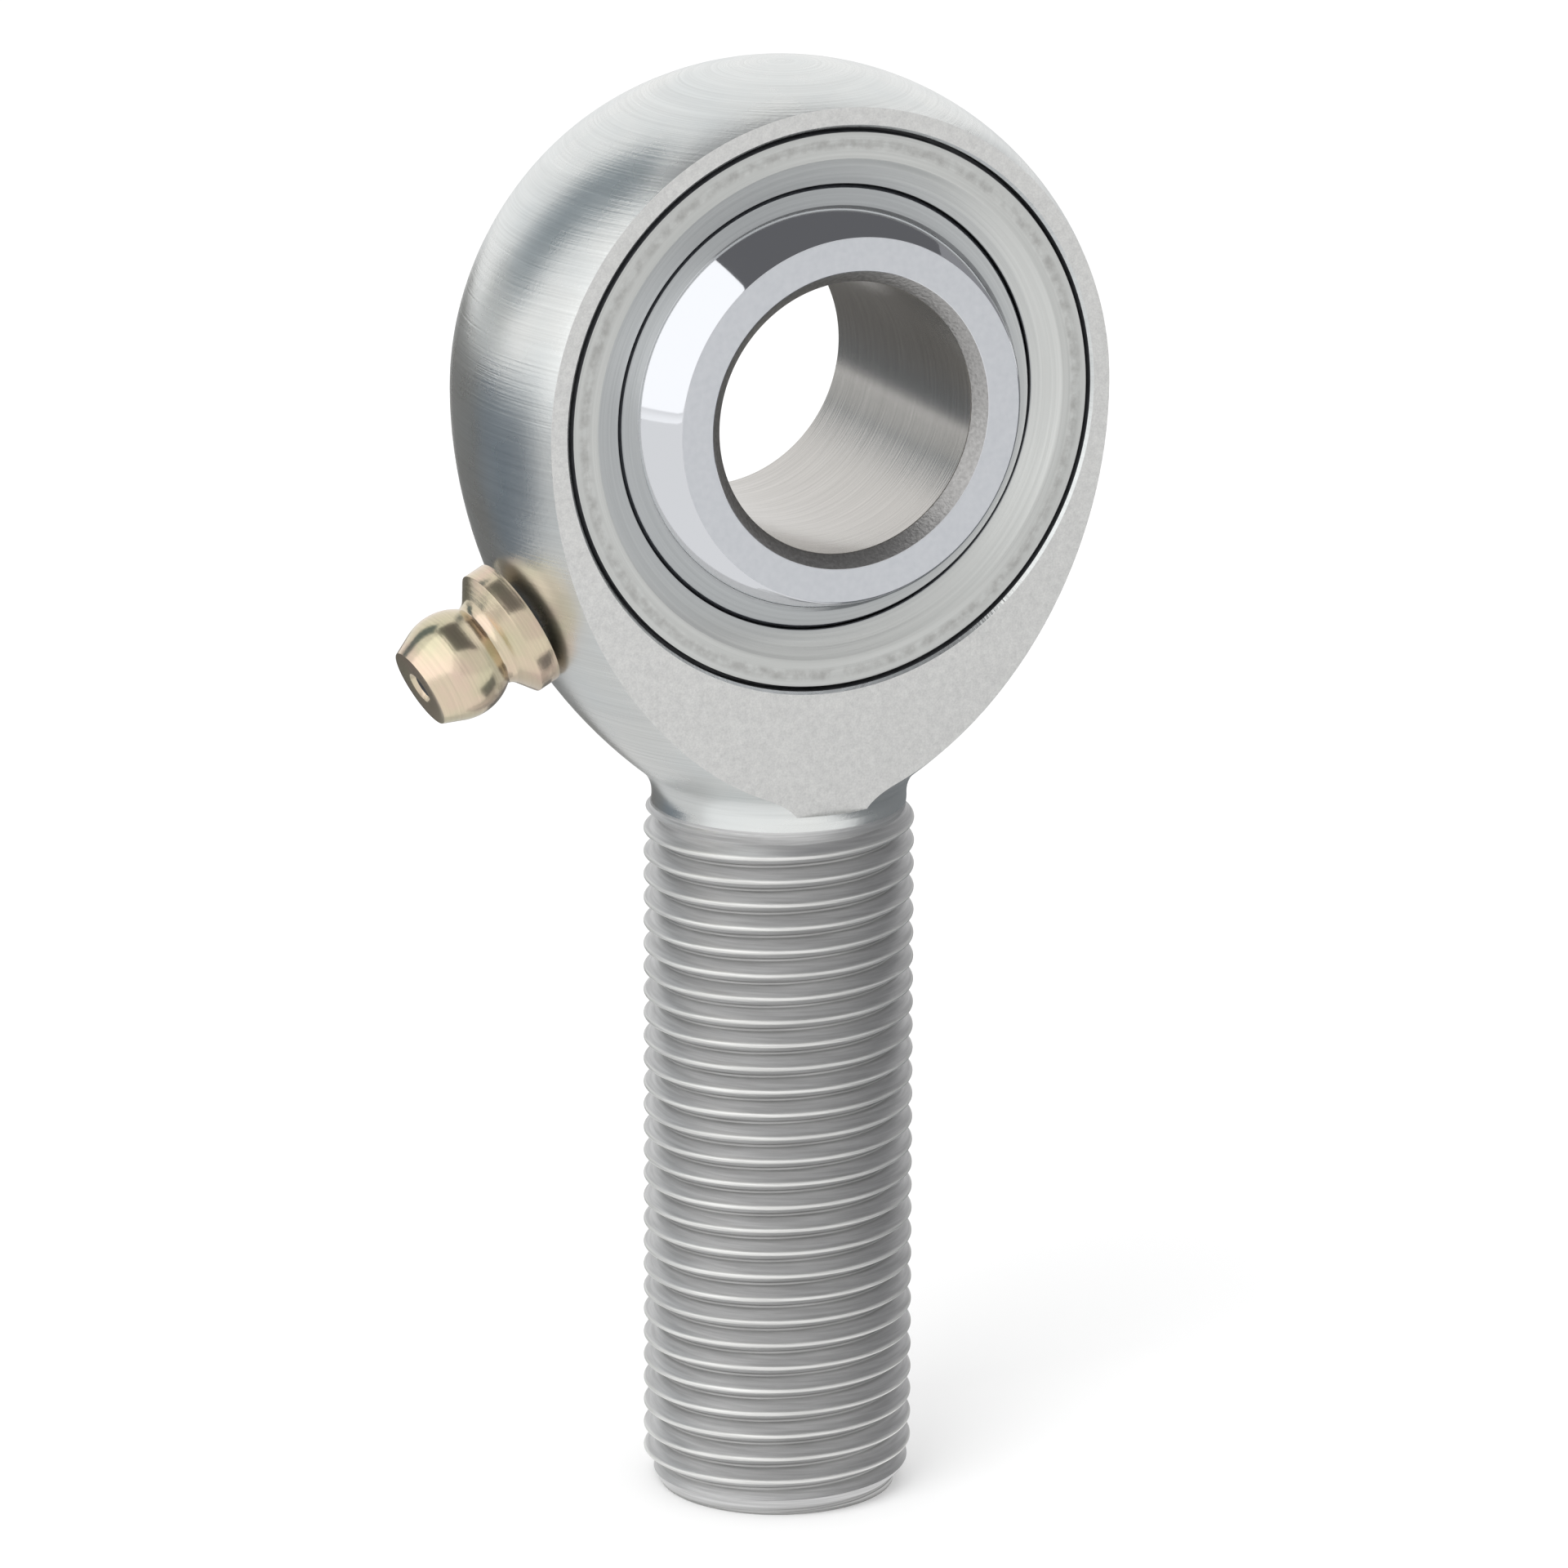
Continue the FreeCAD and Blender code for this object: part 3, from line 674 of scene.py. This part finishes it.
neckTurn = math.degrees(math.acos(body["neck"] / body["head"]))
tipTurn = math.degrees(math.asin((body["coneStart"] - body["headHeight"]) / body["head"]))
neckTop = body["headHeight"] - math.sqrt(body["head"] ** 2 - body["neck"] ** 2)
greaseNipple = turnPiece("grease_nipple", (body["crimp"], body["driveEnd"]), [
    ("line", body["drive"] - body["lead"], body["driveEnd"]),
    ("line", body["drive"], body["driveEnd"] + body["lead"]),
    ("line", body["drive"], 0),
    ("line", body["flange"], 0),
    ("line", body["flange"], body["flangeTop"]),
    ("line", body["neck"], body["coneTop"]),
    ("line", body["neck"], neckTop),
    ("arc", 0, body["headHeight"], neckTurn + tipTurn, 30),
    ("line", body["tip"], body["height"]),
    ("line", body["inletSink"], body["height"]),
    ("line", body["inlet"], body["height"] + body["inlet"] - body["inletSink"]),
    ("line", body["inlet"], body["inletEnd"]),
    ("line", body["valve"], body["valveTop"]),
    ("line", body["valve"], body["crimpTop"]),
    ("line", body["crimp"], body["crimpTop"]),
    ("line", body["crimp"], body["driveEnd"]),
], around=128, corners=[
    (body["neck"], body["coneTop"], body["coneRound"]),
    (body["neck"], neckTop, body["neckRound"]),
])
roundEdges(greaseNipple, body["edge"], 3, 20)
mergePoints(greaseNipple)
onNippleAxis(greaseNipple)


def hasGreaseShade(centre, normal):
    # painted dark with grease and painted shade: behind the flange, and inside the inlet
    fromSeat = centre - Vector(nipple["seat"])
    height = fromSeat.dot(nippleOut)
    offAxis = (fromSeat - nippleOut * height).length
    inInlet = offAxis < body["greaseShadeWithin"] and height > body["greaseShadeAbove"]
    return height < body["greaseShadeBehind"] or inInlet


greaseNipple.data.materials.append(yellowZinc)
# the drive behind the flange and the inlet are painted dark: grease and painted shade
paint(greaseNipple, jointGreaseShade, hasGreaseShade)
smooth(greaseNipple)
flattenShading(greaseNipple)
seat(greaseNipple, "housing", "nipple_body")

selectNothing()
bpy.ops.mesh.primitive_ico_sphere_add(subdivisions=5, radius=checkBall["radius"] * mm)
valveBall = bpy.context.object
valveBall.name = valveBall.data.name = "valve_ball"
pick(valveBall, "EDIT")
bpy.ops.mesh.select_all(action="SELECT")
bpy.ops.transform.translate(value=(Vector(nipple["seat"]) + nippleOut * checkBall["height"]) * mm)
bpy.ops.object.mode_set(mode="OBJECT")
valveBall.data.materials.append(shadedValveSteel)
smooth(valveBall, 60)
seat(valveBall, "check_ball", "nipple_check_ball")

selectNothing()
bpy.ops.mesh.primitive_circle_add(vertices=12, radius=checkSpring["wire"] * mm, rotation=(math.pi / 2, 0, 0),
                                  location=(checkSpring["coil"] * mm, 0, checkSpring["bottom"] * mm))
valveSpring = bpy.context.object
valveSpring.name = valveSpring.data.name = "valve_spring"
bpy.ops.object.transform_apply(location=True, rotation=True, scale=True)
coilPitch = (checkSpring["top"] - checkSpring["bottom"]) / checkSpring["turns"]
windUp(valveSpring, coilPitch, checkSpring["turns"], checkSpring["around"])
pick(valveSpring, "EDIT")
bpy.ops.mesh.select_all(action="SELECT")
bpy.ops.mesh.fill_holes(sides=0)
bpy.ops.mesh.normals_make_consistent(inside=False)
onNippleAxis(valveSpring)
valveSpring.data.materials.append(springSteel)
smooth(valveSpring, 50)
seat(valveSpring, "housing", "nipple_spring")
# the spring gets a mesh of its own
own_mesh(valveSpring)
print("nipple fitted")


# the stage: a floor, soft light from all round, one lamp for the shadow
studio = {
    "floor": "#FCFCFC", "floorSize": 6, "world": 1.0, "lamp": 2.0, "lampSize": 0.5, "lampDistance": 0.8,
}
bpy.context.scene.view_settings.view_transform = "Standard"
selectNothing()
bpy.ops.mesh.primitive_plane_add(size=studio["floorSize"], location=(0, 0, thread["end"] * mm))
floor = bpy.context.object
floor.name = "floor"
paper = bpy.data.materials.new("matt white paper")
paper.use_nodes = True
paperShader = paper.node_tree.nodes["Principled BSDF"]
paperShader.inputs["Base Color"].default_value = toLinear(studio["floor"])
paperShader.inputs["Roughness"].default_value = 0.9
paperShader.inputs["Specular IOR Level"].default_value = 0.1
floor.data.materials.append(paper)

world = bpy.data.worlds.new("white tent")
bpy.context.scene.world = world
world.use_nodes = True
sky = world.node_tree.nodes["Background"]
sky.inputs["Color"].default_value = (1, 1, 1, 1)
sky.inputs["Strength"].default_value = studio["world"]

# what the metal mirrors: a white tent with a brighter window on the left, dark flags, and a greyer table
# with shade cards on it, a painted reflection of a darker, shaded floor seen only in reflections.
# Each card is given by its tone and its four corners, in mm
cards = {
    "window": ("#FFFFFF", [(-400, -700, -20), (-400, 130, -20), (-400, -700, 900), (-400, 130, 900)]),
    "doorway": ("#BEC0C0", [(-262, 302, -8), (-130, 378, -8), (-262, 302, 80), (-130, 378, 80)]),
    "gap": ("#67767F", [(-180, 364, 78), (-285, 290, 78), (-120, 385, 560), (-330, 245, 560)]),
    "ceiling": ("#6E6E70", [(-210, -430, 400), (750, -430, 400), (-210, 180, 400), (750, 180, 400)]),
    "wallRight": ("#9C9C9E", [(400, -335, -10), (400, 335, -10), (400, -335, 230), (400, 335, 230)]),
    "roomFront": ("#E8E8E8", [(-160, -560, -66), (520, -400, -66), (-160, -560, 420), (520, -400, 420)]),
    "tableFront": ("#FAFAFA", [
        (-500, -700, -66.5), (500, -700, -66.5), (-500, 10, -66.5), (500, 10, -66.5)]),
    "tableBack": ("#D8D8D8", [
        (-500, 10, -66.5), (500, 10, -66.5), (-500, 700, -66.5), (500, 700, -66.5)]),
    "shadeLeft": ("#66707A", [
        (-135, 62, -66.3), (-42, 80, -66.3), (-1100, 560, -66.3), (-480, 900, -66.3)]),
    "shadeBehind": ("#6E6D6B", [
        (-44, 76, -66.3), (22, 76, -66.3), (-480, 900, -66.3), (120, 1000, -66.3)]),
    "shadeRight": ("#787B7E", [
        (18, -60, -66.2), (430, -240, -66.2), (30, 90, -66.2), (430, 330, -66.2)]),
}
glows = {"window": 1.4}   # the other cards glow at their own tone
for name, (tone, corners) in cards.items():
    selectNothing()
    bpy.ops.mesh.primitive_plane_add(size=1)
    card = bpy.context.object
    card.name = name
    for point, corner in zip(card.data.vertices, corners):
        point.co = Vector(corner) * mm
    glow = bpy.data.materials.new(name)
    glow.use_nodes = True
    glow.node_tree.nodes.clear()
    light = {"Color": toLinear(tone), "Strength": glows.get(name, 1.0)}
    glowing = addNode(glow.node_tree, "ShaderNodeEmission", light).outputs[0]
    addNode(glow.node_tree, "ShaderNodeOutputMaterial", {"Surface": glowing})
    card.data.materials.append(glow)
    card.visible_camera = card.visible_diffuse = card.visible_shadow = False
    card.visible_transmission = card.visible_volume_scatter = False

lampData = bpy.data.lights.new("key", "AREA")
lampData.shape = "DISK"
lampData.size = studio["lampSize"]
lampData.energy = studio["lamp"]
keyLamp = bpy.data.objects.new("key", lampData)
bpy.context.scene.collection.objects.link(keyLamp)
lampSide = Vector((-0.55, -0.35, 0.75)).normalized()
lampTurn = lampSide.to_track_quat("Z", "Y").to_matrix().to_4x4()
keyLamp.matrix_world = Matrix.Translation(lampSide * studio["lampDistance"]) @ lampTurn
keyLamp.visible_glossy = False
print("stage lit")


# the camera looks from the left and a little above
shot = {
    "azimuth": -25.444, "elevation": 16.038, "roll": 0.182, "distance": 604.208,
    "sideways": 0.297, "height": -23.957, "lens": 238.05,
}
azimuth, elevation, roll = [math.radians(shot[part]) for part in ("azimuth", "elevation", "roll")]
right = Vector((math.cos(azimuth), math.sin(azimuth), 0))
forward = Vector((-math.sin(azimuth), math.cos(azimuth), 0))
back = Vector((0, 0, math.sin(elevation))) - forward * math.cos(elevation)
up = back.cross(right)
axes = [math.cos(roll) * right + math.sin(roll) * up, math.cos(roll) * up - math.sin(roll) * right, back]
spot = shot["sideways"] * right + Vector((0, 0, shot["height"])) + back * shot["distance"]
lens = bpy.data.cameras.new("camera")
lens.sensor_width = 36
lens.lens = shot["lens"]
lens.clip_start = 0.02
lens.clip_end = 20
camera = bpy.data.objects.new("camera", lens)
bpy.context.scene.collection.objects.link(camera)
camera.matrix_world = Matrix.Translation(spot * mm) @ Matrix(axes).transposed().to_4x4()
bpy.context.scene.camera = camera
